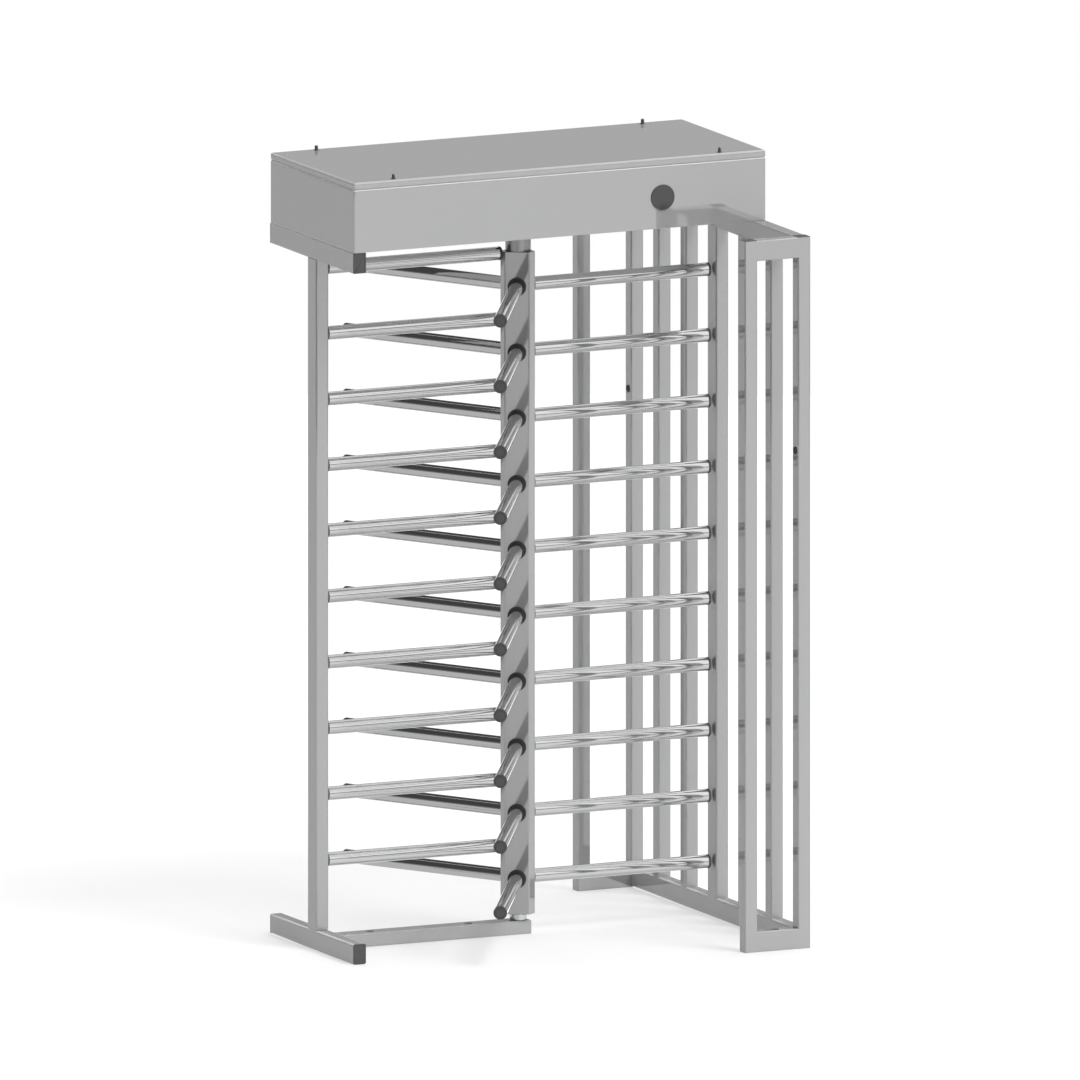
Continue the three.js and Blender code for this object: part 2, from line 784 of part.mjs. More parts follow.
function header() {
  return group(
    headerCase(),
    headerLid(),
    indicatorLens("front_indicator_lens", -1),
    indicatorLens("rear_indicator_lens", 1),
    headerBeam(),
    upperBearingHousing(),
    driveMotor(),
    drivePinion(),
    lockBolt("lock_bolt_in", 1),
    lockBolt("lock_bolt_out", -1),
    twinLockSolenoid(),
    controllerBox(),
  );
}

const turnstile = group(leftStand(), guardCage(), rotor(), lowerPivot(), header());

export default turnstile;
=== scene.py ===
import math

import bmesh
import bpy
from mathutils import Matrix, Vector


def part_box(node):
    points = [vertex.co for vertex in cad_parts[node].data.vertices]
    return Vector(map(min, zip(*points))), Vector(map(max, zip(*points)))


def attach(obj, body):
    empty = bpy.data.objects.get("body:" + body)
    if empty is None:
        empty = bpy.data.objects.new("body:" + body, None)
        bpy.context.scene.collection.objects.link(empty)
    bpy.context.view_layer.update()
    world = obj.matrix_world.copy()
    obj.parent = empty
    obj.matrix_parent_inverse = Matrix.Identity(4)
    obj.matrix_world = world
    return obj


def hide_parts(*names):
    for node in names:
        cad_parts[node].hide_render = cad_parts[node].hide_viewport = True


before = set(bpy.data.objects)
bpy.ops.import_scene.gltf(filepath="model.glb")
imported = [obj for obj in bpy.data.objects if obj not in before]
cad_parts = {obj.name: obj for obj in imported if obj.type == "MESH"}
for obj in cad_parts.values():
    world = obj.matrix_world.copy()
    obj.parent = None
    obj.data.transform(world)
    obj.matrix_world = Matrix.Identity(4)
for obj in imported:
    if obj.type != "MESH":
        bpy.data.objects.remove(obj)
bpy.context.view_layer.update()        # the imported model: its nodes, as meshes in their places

halfTurn = math.pi
fullTurn = 2 * math.pi
up = Vector((0, 0, 1))
creaseAngle = math.radians(32)        # a sharper edge than this isn't shaded smooth
samePlace = 1e-6        # nearer points and levels than this are the same
aligned = 0.9        # cosine above which an edge or a face points along an axis
flatFace = 0.999        # the same for the flat ends of a turned shape
seatGap = 0.0003        # between solids that touch, as in the CAD model
cutReach = 0.01        # how far a cutter runs past the wall that it opens

# Camera at the photograph's viewing angle, without perspective
cameraSet = {
    "azimuth": math.radians(-25.14),
    "elevation": math.radians(10.0),
    "pictureWidth": 3.1295,
    "pictureCentre": Vector((0.1416, 0.1520, 1.1209)),
    "distance": 9.0,
}


def makeCamera():
    azimuth = cameraSet["azimuth"]
    elevation = cameraSet["elevation"]
    back = Vector((math.sin(azimuth), -math.cos(azimuth), 0)) * math.cos(elevation)
    back += up * math.sin(elevation)
    lens = bpy.data.cameras.new("photoCamera")
    lens.type = "ORTHO"
    lens.ortho_scale = cameraSet["pictureWidth"]
    camera = bpy.data.objects.new("photoCamera", lens)
    camera.location = cameraSet["pictureCentre"] + back * cameraSet["distance"]
    camera.rotation_euler = (-back).to_track_quat("-Z", "Y").to_euler()
    bpy.context.scene.collection.objects.link(camera)
    bpy.context.scene.camera = camera


makeCamera()
print("camera placed")


class Signal:
    # A socket of a node tree. Sums and products of sockets add Math nodes.
    def __init__(self, graph, socket):
        self.graph = graph
        self.socket = socket

    def maths(self, operation, *values):
        return self.graph.node("ShaderNodeMath", {"operation": operation}, dict(enumerate(values)))

    def __add__(self, other):
        return self.maths("ADD", self, other)

    def __sub__(self, other):
        return self.maths("SUBTRACT", self, other)

    def __rsub__(self, other):
        return self.maths("SUBTRACT", other, self)

    def __mul__(self, other):
        return self.maths("MULTIPLY", self, other)

    def __truediv__(self, other):
        return self.maths("DIVIDE", self, other)

    def fract(self):
        return self.maths("FRACT", self)

    def below(self, other):
        return self.maths("LESS_THAN", self, other)

    def atLeast(self, other):
        return self.maths("MAXIMUM", self, other)

    def absolute(self):
        return self.maths("ABSOLUTE", self)

    def between(self, low, high):        # 0 at low, 1 at high, smooth in between
        settings = {"interpolation_type": "SMOOTHSTEP"}
        values = {"Value": self, "From Min": low, "From Max": high}
        return self.graph.node("ShaderNodeMapRange", settings, values)


class Graph:
    # The node tree of a material or of the world.
    def __init__(self, owner):
        owner.use_nodes = True
        self.tree = owner.node_tree
        self.tree.nodes.clear()

    def node(self, kind, settings=None, values=None, output=0):
        made = self.tree.nodes.new(kind)
        for name, value in (settings or {}).items():
            setattr(made, name, value)
        for name, value in (values or {}).items():
            if isinstance(value, Signal):
                self.tree.links.new(value.socket, made.inputs[name])
            else:
                made.inputs[name].default_value = value
        return Signal(self, made.outputs[output]) if made.outputs else None

    def outputs(self, kind, values, *names):        # several outputs of one new node
        made = self.node(kind, None, values).socket.node
        return [Signal(self, made.outputs[name]) for name in names]

    def blend(self, share, first, second):        # colours, by a share of the second
        return self.node("ShaderNodeMix", {"data_type": "RGBA"}, {0: share, 6: first, 7: second}, 2)

    def noise(self, place, scales, detail=2.0):
        stretched = self.node("ShaderNodeMapping", None, {"Vector": place, "Scale": scales})
        values = {"Vector": stretched, "Scale": 1.0, "Detail": detail}
        return self.node("ShaderNodeTexNoise", {"noise_dimensions": "3D"}, values)

    def bump(self, height, strength, distance):
        values = {"Height": height, "Strength": strength, "Distance": distance}
        return self.node("ShaderNodeBump", None, values)

    def output(self, shader):
        self.node("ShaderNodeOutputMaterial", None, {"Surface": shader})


def grey(value, tint=0.0):        # a neutral colour, a little bluer with tint
    return (value * (1 - tint), value, value * (1 + tint), 1.0)


def spread(noise, amount):        # a noise of 0 to 1 as a swing of plus and minus half the amount
    return (noise - 0.5) * amount


def newMaterial(name):
    material = bpy.data.materials.new(name)
    return material, Graph(material)


# Steel finishes: rolled or brushed along the piece, with faint streaks and cleaning marks. The bend
# and corner looks are paler copies that paint highlights on the bend faces that look up.
steelTint = 0.004
steelGrainDetail = 3.0
steelLooks = {
    "satin": {
        "dark": 0.445, "light": 0.475, "metallic": 0.5, "roughness": 0.04, "streakShare": 0.55,
        "grainAcross": 900.0, "streakAcross": 90.0, "along": 3.0, "grainDepth": 0.00001,
        "grainStrength": 0.006, "grainRoughness": 0.02, "cloudScale": 2.2, "cloudRoughness": 0.03,
    },
    "sheet": {
        "dark": 0.465, "light": 0.485, "metallic": 0.5, "roughness": 0.03, "streakShare": 0.5,
        "grainAcross": 700.0, "streakAcross": 60.0, "along": 2.0, "grainDepth": 0.00001,
        "grainStrength": 0.006, "grainRoughness": 0.02, "cloudScale": 1.6, "cloudRoughness": 0.02,
    },
    "polished": {
        "dark": 0.72, "light": 0.80, "metallic": 1.0, "roughness": 0.07, "streakShare": 0.4,
        "grainAcross": 1100.0, "streakAcross": 160.0, "along": 5.0, "grainDepth": 0.00001,
        "grainStrength": 0.03, "grainRoughness": 0.03, "cloudScale": 4.0, "cloudRoughness": 0.04,
    },
    "column": {
        "dark": 0.485, "light": 0.535, "metallic": 0.67, "roughness": 0.05, "streakShare": 0.5,
        "grainAcross": 900.0, "streakAcross": 120.0, "along": 3.0, "grainDepth": 0.00001,
        "grainStrength": 0.02, "grainRoughness": 0.02, "cloudScale": 2.2, "cloudRoughness": 0.03,
    },
    # bend: a paler, rougher copy of the sheet for bend faces that look up, a painted highlight
    # along the edge
    "bend": {
        "dark": 0.46, "light": 0.51, "metallic": 0.3, "roughness": 0.3, "streakShare": 0.5,
        "grainAcross": 700.0, "streakAcross": 60.0, "along": 2.0, "grainDepth": 0.00002,
        "grainStrength": 0.01, "grainRoughness": 0.03, "cloudScale": 1.6, "cloudRoughness": 0.03,
    },
    # corner: a much lighter copy for the upper edges of lying tubes and the case's top bend, a
    # painted highlight line
    "corner": {
        "dark": 0.72, "light": 0.78, "metallic": 0.3, "roughness": 0.3, "streakShare": 0.5,
        "grainAcross": 700.0, "streakAcross": 60.0, "along": 2.0, "grainDepth": 0.00002,
        "grainStrength": 0.01, "grainRoughness": 0.03, "cloudScale": 1.6, "cloudRoughness": 0.03,
    },
    "machined": {
        "dark": 0.34, "light": 0.46, "metallic": 0.95, "roughness": 0.3, "streakShare": 0.6,
        "grainAcross": 1300.0, "streakAcross": 260.0, "along": 60.0, "grainDepth": 0.00004,
        "grainStrength": 0.15, "grainRoughness": 0.1, "cloudScale": 9.0, "cloudRoughness": 0.12,
    },
    "inside": {
        "dark": 0.58, "light": 0.68, "metallic": 0.7, "roughness": 0.36, "streakShare": 0.6,
        "grainAcross": 1300.0, "streakAcross": 260.0, "along": 60.0, "grainDepth": 0.00004,
        "grainStrength": 0.1, "grainRoughness": 0.08, "cloudScale": 9.0, "cloudRoughness": 0.1,
    },
}


def steel(name, look, grainAxis):
    material, graph = newMaterial(name)
    place = graph.node("ShaderNodeTexCoord", output="Object")

    def scales(across):
        made = [across] * 3
        made[grainAxis] = look["along"]
        return made

    grain = graph.noise(place, scales(look["grainAcross"]), steelGrainDetail)
    streak = graph.noise(place, scales(look["streakAcross"]))
    cloud = graph.noise(place, [look["cloudScale"]] * 3)
    share = look["streakShare"]
    tone = graph.blend(streak * share + cloud * (1 - share), grey(look["dark"], steelTint),
                       grey(look["light"], steelTint))
    roughness = spread(grain, look["grainRoughness"]) + spread(cloud, look["cloudRoughness"])
    graph.output(graph.node("ShaderNodeBsdfPrincipled", None, {
        "Base Color": tone,
        "Metallic": look["metallic"],
        "Roughness": roughness + look["roughness"],
        "Normal": graph.bump(grain, look["grainStrength"], look["grainDepth"]),
    }))
    return material


# Moulded plastics: end plugs, beam caps, rings and grommets, and the controller's case
plasticLooks = {
    "black": {"dark": 0.060, "light": 0.078, "roughness": 0.42, "grain": 1400.0, "depth": 0.00008},
    "ring": {"dark": 0.024, "light": 0.034, "roughness": 0.5, "grain": 1600.0, "depth": 0.00006},
    "case": {"dark": 0.05, "light": 0.065, "roughness": 0.5, "grain": 1000.0, "depth": 0.0001},
}
plasticSkin = {
    "grainDetail": 1.0, "grainStrength": 0.25, "rubScale": 60.0, "rubRoughness": 0.16, "tint": 0.01,
}


def plastic(name, look):
    material, graph = newMaterial(name)
    place = graph.node("ShaderNodeTexCoord", output="Object")
    grain = graph.noise(place, [look["grain"]] * 3, plasticSkin["grainDetail"])
    rub = graph.noise(place, [plasticSkin["rubScale"]] * 3)
    light = grey(look["light"], plasticSkin["tint"])
    graph.output(graph.node("ShaderNodeBsdfPrincipled", None, {
        "Base Color": graph.blend(rub, grey(look["dark"]), light),
        "Roughness": spread(rub, plasticSkin["rubRoughness"]) + look["roughness"],
        "Normal": graph.bump(grain, plasticSkin["grainStrength"], look["depth"]),
    }))
    return material


# Indicator lens: smoked plastic with its unlit lamps showing faintly as a grid of dots
lensLook = {
    "smoke": 0.052, "dot": 0.066, "dotPitch": 0.006, "dotShare": 0.3, "roughness": 0.12,
    "hazeScale": 40.0, "hazeRoughness": 0.06, "coat": 0.3, "coatRoughness": 0.05,
}


def smokedPlastic(name):
    material, graph = newMaterial(name)
    place = graph.node("ShaderNodeTexCoord", output="Object")
    across, height = graph.outputs("ShaderNodeSeparateXYZ", {"Vector": place}, "X", "Z")
    column = (across / lensLook["dotPitch"]).fract() - 0.5
    row = (height / lensLook["dotPitch"]).fract() - 0.5
    dots = (column * column + row * row).below(lensLook["dotShare"] ** 2)
    haze = graph.noise(place, [lensLook["hazeScale"]] * 3)
    graph.output(graph.node("ShaderNodeBsdfPrincipled", None, {
        "Base Color": graph.blend(dots, grey(lensLook["smoke"]), grey(lensLook["dot"])),
        "Roughness": spread(haze, lensLook["hazeRoughness"]) + lensLook["roughness"],
        "Coat Weight": lensLook["coat"],
        "Coat Roughness": lensLook["coatRoughness"],
    }))
    return material


# Grey enamel of the motor and the solenoid block
enamelLook = {
    "dark": 0.11, "light": 0.14, "tint": 0.02, "metallic": 0.2, "roughness": 0.4,
    "dustScale": 14.0, "dustDetail": 4.0, "dustRoughness": 0.2,
    "peelScale": 260.0, "peelStrength": 0.2, "peelDepth": 0.0001,
}


def enamel(name):
    material, graph = newMaterial(name)
    place = graph.node("ShaderNodeTexCoord", output="Object")
    peel = graph.noise(place, [enamelLook["peelScale"]] * 3)
    dust = graph.noise(place, [enamelLook["dustScale"]] * 3, enamelLook["dustDetail"])
    light = grey(enamelLook["light"], enamelLook["tint"])
    graph.output(graph.node("ShaderNodeBsdfPrincipled", None, {
        "Base Color": graph.blend(dust, grey(enamelLook["dark"]), light),
        "Metallic": enamelLook["metallic"],
        "Roughness": spread(dust, enamelLook["dustRoughness"]) + enamelLook["roughness"],
        "Normal": graph.bump(peel, enamelLook["peelStrength"], enamelLook["peelDepth"]),
    }))
    return material


satinAlong = steel("satinSteelAlongX", steelLooks["satin"], 0)
satinAcross = steel("satinSteelAlongY", steelLooks["satin"], 1)
satinUp = steel("satinSteelAlongZ", steelLooks["satin"], 2)
sheetAlong = steel("headerSheetSteel", steelLooks["sheet"], 0)
columnSteel = steel("columnSteel", steelLooks["column"], 2)
# Lighter copies of the steel for bend faces that look up: painted highlights along the upper edges
bendHighlight = steel("paintedBendHighlight", steelLooks["bend"], 0)
bendHighlightAcross = steel("paintedBendHighlightAcross", steelLooks["bend"], 1)
caseBendHighlight = steel("paintedCaseBendHighlight", steelLooks["corner"], 0)
cornerHighlightAcross = steel("paintedCornerHighlightAcross", steelLooks["corner"], 1)
polishedSteel = steel("polishedSteel", steelLooks["polished"], 2)
machinedSteel = steel("machinedSteel", steelLooks["machined"], 2)
insideSteel = steel("mechanismSteel", steelLooks["inside"], 2)
blackPlastic = plastic("blackPlastic", plasticLooks["black"])
ringPlastic = plastic("ringPlastic", plasticLooks["ring"])
casePlastic = plastic("casePlastic", plasticLooks["case"])
lensPlastic = smokedPlastic("smokedLensPlastic")
greyEnamel = enamel("greyEnamel")
print("finishes made")


# Shapes are bmeshes in metres, in their place on the part unless a note says otherwise.
roundProfile = 0.5
highlightLeastUp = 0.2        # least upward part of the normal of the bend faces that get a painted highlight


# A bend's faces that look up take the given material slot, where a lighter copy of the finish
# paints a highlight along the edge.
def roundEdges(shape, edges, radius, segments, highlightSlot=0):
    made = bmesh.ops.bevel(
        shape, geom=edges, offset=radius, segments=segments, profile=roundProfile,
        affect="EDGES", clamp_overlap=True, material=-1,
    )
    for face in made["faces"]:
        face.normal_update()
        face.smooth = True
        face.material_index = highlightSlot if face.normal.z > highlightLeastUp else 0
    return shape


def sharpEdges(shape):
    return [edge for edge in shape.edges if edge.calc_face_angle(0) > creaseAngle]


def edgesAlong(shape, axis):
    def runs(edge):
        direction = (edge.verts[1].co - edge.verts[0].co).normalized()
        return abs(direction[axis]) > aligned
    return [edge for edge in shape.edges if runs(edge)]


def block(low, high):
    shape = bmesh.new()
    bmesh.ops.create_cube(shape, size=1)
    low = Vector(low)
    high = Vector(high)
    bmesh.ops.scale(shape, vec=high - low, verts=shape.verts)
    bmesh.ops.translate(shape, vec=(low + high) / 2, verts=shape.verts)
    return shape


# Corner radii of standing tubes, of those that lie on the floor, and of the top beam
tubeSet = {
    "corner": 0.004, "lyingCorner": 0.006, "topCorner": 0.0025, "cornerSteps": 5,
    "endEdge": 0.0006, "endSteps": 2,
}


def squareTube(low, high, axis, corner=tubeSet["corner"]):
    shape = block(low, high)
    # Lying tubes paint a highlight on their upper bends with the second slot; standing tubes don't
    highlightSlot = 0 if axis == 2 else 1
    roundEdges(shape, edgesAlong(shape, axis), corner, tubeSet["cornerSteps"], highlightSlot)
    return roundEdges(shape, sharpEdges(shape), tubeSet["endEdge"], tubeSet["endSteps"])


# A profile of (radius, height) points, turned about Z at the origin
def turned(profile, steps=48, edge=0.0, edgeSteps=3):
    shape = bmesh.new()
    points = [shape.verts.new((radius, 0, height)) for radius, height in profile]
    line = [shape.edges.new(pair) for pair in zip(points, points[1:])]
    bmesh.ops.spin(
        shape, geom=points + line, cent=(0, 0, 0), axis=(0, 0, 1), angle=fullTurn,
        steps=steps, use_merge=True,
    )
    bmesh.ops.remove_doubles(shape, verts=shape.verts, dist=samePlace)
    bmesh.ops.recalc_face_normals(shape, faces=shape.faces)
    shape.normal_update()
    for face in shape.faces:
        face.smooth = abs(face.normal.z) < flatFace
    if edge:
        roundEdges(shape, sharpEdges(shape), edge, edgeSteps)
    return shape


def cylinder(radius, start, end, sides, edge=0.0):        # along Z
    return turned([(0, start), (radius, start), (radius, end), (0, end)], sides, edge)


def moved(shape, matrix):
    bmesh.ops.transform(shape, matrix=matrix, verts=shape.verts)
    return shape


def merged(shapes):
    whole = bmesh.new()
    for shape in shapes:
        carrier = bpy.data.meshes.new("carrier")
        shape.to_mesh(carrier)
        shape.free()
        whole.from_mesh(carrier)
        bpy.data.meshes.remove(carrier)
    return whole


# bends, when given, is the second material: a painted highlight on bend faces that look up, or the
# painted shade on the column's top
def newPiece(name, shape, finish, body, replaced=(), bends=None):
    for edge in sharpEdges(shape):
        edge.smooth = False
    mesh = bpy.data.meshes.new(name)
    shape.to_mesh(mesh)
    shape.free()
    mesh.materials.append(finish)
    if bends:
        mesh.materials.append(bends)
    piece = bpy.data.objects.new(name, mesh)
    bpy.context.scene.collection.objects.link(piece)
    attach(piece, body)
    if replaced:
        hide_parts(*replaced)
    return piece


def applyModifiers(piece):
    bpy.context.view_layer.update()
    result = piece.evaluated_get(bpy.context.evaluated_depsgraph_get())
    mesh = bpy.data.meshes.new_from_object(result)
    piece.modifiers.clear()
    piece.data = mesh


# Takes the cutters out of the piece, one after the other
def bore(piece, *cutters):
    for cutter in cutters:
        helper = bpy.data.objects.new("cutter", bpy.data.meshes.new("cutter"))
        cutter.to_mesh(helper.data)
        cutter.free()
        bpy.context.scene.collection.objects.link(helper)
        cut = piece.modifiers.new("bore", "BOOLEAN")
        cut.operation = "DIFFERENCE"
        cut.solver = "EXACT"
        cut.object = helper
        applyModifiers(piece)
        bpy.data.objects.remove(helper)


def toX(x, y, z):        # turns +Z to +X, then moves
    return Matrix.Translation((x, y, z)) @ Matrix.Rotation(halfTurn / 2, 4, "Y")


def middle(node):
    low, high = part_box(node)
    return (low + high) / 2


# Rotor bars: a polished tube, the plug in its end and the ring at its root
barSet = {
    "wings": "abc", "rows": 10, "radius": 0.020, "sides": 48, "plugHead": 0.008, "plugEdge": 0.0016,
    "plugEdgeBulge": 0.3, "grooveIn": 0.0135, "grooveOut": 0.0158, "grooveDepth": 0.0012,
    "grooveSlope": 0.0004, "crownDrop": 0.0002, "crownShare": 0.6, "seam": 0.0004,
    "ringRadius": 0.027, "ringLength": 0.006, "ringEdge": 0.0022, "ringEdgeSteps": 5,
    "ringGap": 0.0001,
}


def rod(start, end, edge=0.0):        # as thick as the bars, along Z
    return cylinder(barSet["radius"], start, end, barSet["sides"], edge)


def ringRound(radius, start, end):        # round a bar along Z
    inner = barSet["radius"] + barSet["ringGap"]
    profile = [(inner, start), (radius, start), (radius, end), (inner, end), (inner, start)]
    return turned(profile, barSet["sides"])


def endPlug():        # its outer face at zero, its seat below
    head = barSet["plugHead"]
    radius = barSet["radius"]
    seam = barSet["seam"]
    edge = barSet["plugEdge"]
    bulge = edge * barSet["plugEdgeBulge"]
    outside = barSet["grooveOut"]
    inside = barSet["grooveIn"]
    slope = barSet["grooveSlope"]
    depth = barSet["grooveDepth"]
    return turned([
        (0, -head), (radius - seam, -head), (radius - seam, -head + seam), (radius, -head + seam),
        (radius, -edge), (radius - bulge, -bulge), (radius - edge, 0),
        (outside, 0), (outside - slope, -depth), (inside + slope, -depth),
        (inside, -barSet["crownDrop"]), (inside * barSet["crownShare"], 0), (0, 0),
    ], barSet["sides"])


def rootRing():        # stands on the column's face at zero
    ring = ringRound(barSet["ringRadius"], 0, barSet["ringLength"])
    halfway = (barSet["radius"] + barSet["ringRadius"]) / 2
    rim = [
        edge for edge in sharpEdges(ring)
        if all(v.co.z > barSet["ringLength"] / 2 and v.co.xy.length > halfway for v in edge.verts)
    ]
    return roundEdges(ring, rim, barSet["ringEdge"], barSet["ringEdgeSteps"])


def makeRotorBars():
    low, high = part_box("rotor_bar_a01")
    for wing, letter in enumerate(barSet["wings"]):
        turn = Matrix.Rotation(wing * fullTurn / len(barSet["wings"]), 4, "Z")
        plugs = []
        rings = []
        for row in range(1, barSet["rows"] + 1):
            node = f"rotor_bar_{letter}{row:02d}"
            height = middle(node).z
            tube = moved(rod(low.x, high.x - barSet["plugHead"]), turn @ toX(0, 0, height))
            newPiece(f"barTube_{letter}{row:02d}", tube, polishedSteel, "rotor",
                     [node])
            plugs.append(moved(endPlug(), turn @ toX(high.x, 0, height)))
            rings.append(moved(rootRing(), turn @ toX(low.x, 0, height)))
        newPiece(f"barPlugs_{letter}", merged(plugs), blackPlastic, "rotor")
        newPiece(f"barRings_{letter}", merged(rings), ringPlastic, "rotor")


makeRotorBars()
print("rotor bars made")


# Rotor column: a triangle with flattened corners, and the shaft that hangs it from the header
columnSet = {
    "faceApothem": 0.038, "edgeApothem": 0.050, "bend": 0.0025, "bendSteps": 4, "rim": 0.001,
    "rimSteps": 2, "shaftSides": 64, "hubRadius": 0.0375, "hubEdge": 0.0012,
    "journalRadius": 0.025, "spigotRadius": 0.022, "channelWall": 0.004,
}


def makeColumn():
    low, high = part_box("rotor_column")
    apothem = columnSet["faceApothem"]
    half = (columnSet["edgeApothem"] - apothem / 2) / math.sin(halfTurn / 3)
    radius = math.hypot(apothem, half)
    shape = bmesh.new()
    corners = []
    for wing in range(3):
        for side in (-1, 1):
            angle = wing * fullTurn / 3 + side * math.atan2(half, apothem)
            place = (radius * math.cos(angle), radius * math.sin(angle), low.z)
            corners.append(shape.verts.new(place))
    foot = shape.faces.new(corners)
    raised = bmesh.ops.extrude_face_region(shape, geom=[foot])["geom"]
    tops = [item for item in raised if isinstance(item, bmesh.types.BMVert)]
    bmesh.ops.translate(shape, vec=up * (high.z - low.z), verts=tops)
    bmesh.ops.recalc_face_normals(shape, faces=shape.faces)
    roundEdges(shape, edgesAlong(shape, 2), columnSet["bend"], columnSet["bendSteps"])
    roundEdges(shape, sharpEdges(shape), columnSet["rim"], columnSet["rimSteps"])
    # The top end takes the darker machined steel as painted shade under the header
    for face in shape.faces:
        if face.normal.z > aligned:
            face.material_index = 1
    newPiece("columnTube", shape, columnSteel, "rotor", ["rotor_column"],
             machinedSteel)


def makeShaft():
    low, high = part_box("rotor_shaft")
    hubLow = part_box("rotor_column")[1].z + seatGap
    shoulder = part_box("header_beam")[1].z - columnSet["channelWall"] - seatGap
    shape = turned([
        (0, low.z), (columnSet["spigotRadius"], low.z), (columnSet["spigotRadius"], hubLow),
        (columnSet["hubRadius"], hubLow), (columnSet["hubRadius"], shoulder),
        (columnSet["journalRadius"], shoulder), (columnSet["journalRadius"], high.z), (0, high.z),
    ], columnSet["shaftSides"], columnSet["hubEdge"])
    newPiece("shaftHub", shape, machinedSteel, "rotor", ["rotor_shaft"])


# Lower pivot: a polished boss on the floor beam with the pin that the column turns on
pivotSet = {"sides": 64, "edge": 0.002, "edgeSteps": 4, "pinRadius": 0.012, "bossHeight": 0.020}


def makePivot():
    low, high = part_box("lower_pivot")
    boss = low.z + pivotSet["bossHeight"]
    shape = turned([
        (0, low.z), (high.x, low.z), (high.x, boss), (pivotSet["pinRadius"], boss),
        (pivotSet["pinRadius"], high.z), (0, high.z),
    ], pivotSet["sides"], pivotSet["edge"], pivotSet["edgeSteps"])
    newPiece("pivotBoss", shape, polishedSteel, "stand", ["lower_pivot"])


makeColumn()
makeShaft()
makePivot()
print("column, shaft and pivot made")


# Left side: comb post with its bars, foot and top beams with their caps, floor beam
combSet = {
    "freeCap": 0.009, "capEdge": 0.0015, "ringRadius": 0.0208, "ringLength": 0.008,
    "rootDepth": 0.003,
}
beamSet = {
    "capFlange": 0.003, "capEdge": 0.0016, "capEdgeSteps": 3, "capBorder": 0.0042,
    "capSlope": 0.001, "capDish": 0.0008, "freeEdge": 0.003, "freeEdgeSteps": 3,
}
anchorSet = {
    "radius": 0.012, "boltRadius": 0.007, "sides": 32, "wall": 0.003, "inset": 0.146,
    "spacing": 0.315,
}


def makeComb():
    low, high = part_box("comb_post")
    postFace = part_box("left_foot_beam")[1].x
    post = squareTube(low, (postFace, high.y, high.z), 2)
    newPiece("combPostTube", post, satinUp, "stand", ["comb_post"])
    rotorRows = [middle(f"rotor_bar_a{row:02d}").z for row in range(1, barSet["rows"] + 1)]
    pitch = (rotorRows[-1] - rotorRows[0]) / (len(rotorRows) - 1)
    root = postFace - combSet["rootDepth"]
    capStart = high.x - combSet["freeCap"]
    caps = []
    rings = []
    for row, rotorRow in enumerate(rotorRows):
        place = toX(0, 0, rotorRow + pitch / 2)
        bar = moved(rod(root, capStart), place)
        newPiece(f"combBar_{row + 1:02d}", bar, polishedSteel, "stand")
        caps.append(moved(rod(capStart, high.x, combSet["capEdge"]), place))
        # A thin black collar round each bar's root at the post, which also paints the contact shade
        # where the bar leaves the post
        ring = ringRound(combSet["ringRadius"], postFace, postFace + combSet["ringLength"])
        rings.append(moved(ring, place))
    newPiece("combBarCaps", merged(caps), ringPlastic, "stand")
    newPiece("combBarRings", merged(rings), blackPlastic, "stand")


def makeBeamCap(node, side, corner):
    low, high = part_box(node)
    face = high.y if side > 0 else low.y
    seat = face - side * beamSet["capFlange"]
    shape = block((low.x, min(face, seat), low.z), (high.x, max(face, seat), high.z))
    roundEdges(shape, edgesAlong(shape, 1), corner, tubeSet["cornerSteps"])
    front = max(shape.faces, key=lambda f: f.calc_center_median().y * side)
    bmesh.ops.inset_region(shape, faces=[front], thickness=beamSet["capBorder"], depth=0)
    bmesh.ops.inset_region(
        shape, faces=[front], thickness=beamSet["capSlope"], depth=-beamSet["capDish"],
    )
    rim = [e for e in sharpEdges(shape) if all(abs(v.co.y - face) < samePlace for v in e.verts)]
    roundEdges(shape, rim, beamSet["capEdge"], beamSet["capEdgeSteps"])
    newPiece("capCover_" + node, shape, blackPlastic, "stand", [node])


def makeLeftBeams():
    for place, corner in (("foot", tubeSet["lyingCorner"]), ("top", tubeSet["topCorner"])):
        node = f"left_{place}_beam"
        low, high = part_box(node)
        tube = squareTube(low, high, 1, corner)
        newPiece("tube_" + node, tube, satinAcross, "stand", [node], cornerHighlightAcross)
        makeBeamCap(place + "_beam_cap_front", -1, corner)
        makeBeamCap(place + "_beam_cap_back", 1, corner)


# Bores a wide hole down to the tube's lower wall, and the bolt's hole through that wall
def boreAnchor(piece, x, y, top):
    wide = anchorSet["radius"]
    narrow = anchorSet["boltRadius"]
    wall = anchorSet["wall"]
    cutter = turned([
        (0, -cutReach), (narrow, -cutReach), (narrow, wall), (wide, wall),
        (wide, top + cutReach), (0, top + cutReach),
    ], anchorSet["sides"])
    bore(piece, moved(cutter, Matrix.Translation((x, y, 0))))


def makeFloorBeam():
    low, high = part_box("floor_beam")
    shape = block(low, high)
    # Its upper bend faces take slot 1, a painted highlight
    roundEdges(shape, edgesAlong(shape, 0), tubeSet["corner"], tubeSet["cornerSteps"], 1)
    free = [e for e in sharpEdges(shape) if all(v.co.x > high.x - samePlace for v in e.verts)]
    roundEdges(shape, free, beamSet["freeEdge"], beamSet["freeEdgeSteps"])
    beam = newPiece("floorBeamTube", shape, satinAlong, "stand", ["floor_beam"],
                    bendHighlight)
    first = low.x - seatGap + anchorSet["inset"]
    for x in (first, first + anchorSet["spacing"]):
        boreAnchor(beam, x, 0, high.z)


makeComb()
makeLeftBeams()
makeFloorBeam()
print("left side made")


# Guard cage: side panel, two returns, plugs on the return posts, cable grommets
guardSet = {
    "post": 0.040, "middlePost": 0.060, "rail": 0.060, "postsEachSide": 2,
    "plugHead": 0.0008, "plugInset": 0.0004, "plugEdge": 0.0004, "plugEdgeSteps": 3,
}
grommetSet = {"bore": 0.004, "body": 0.0085, "flange": 0.0017, "edge": 0.0008, "sides": 40}


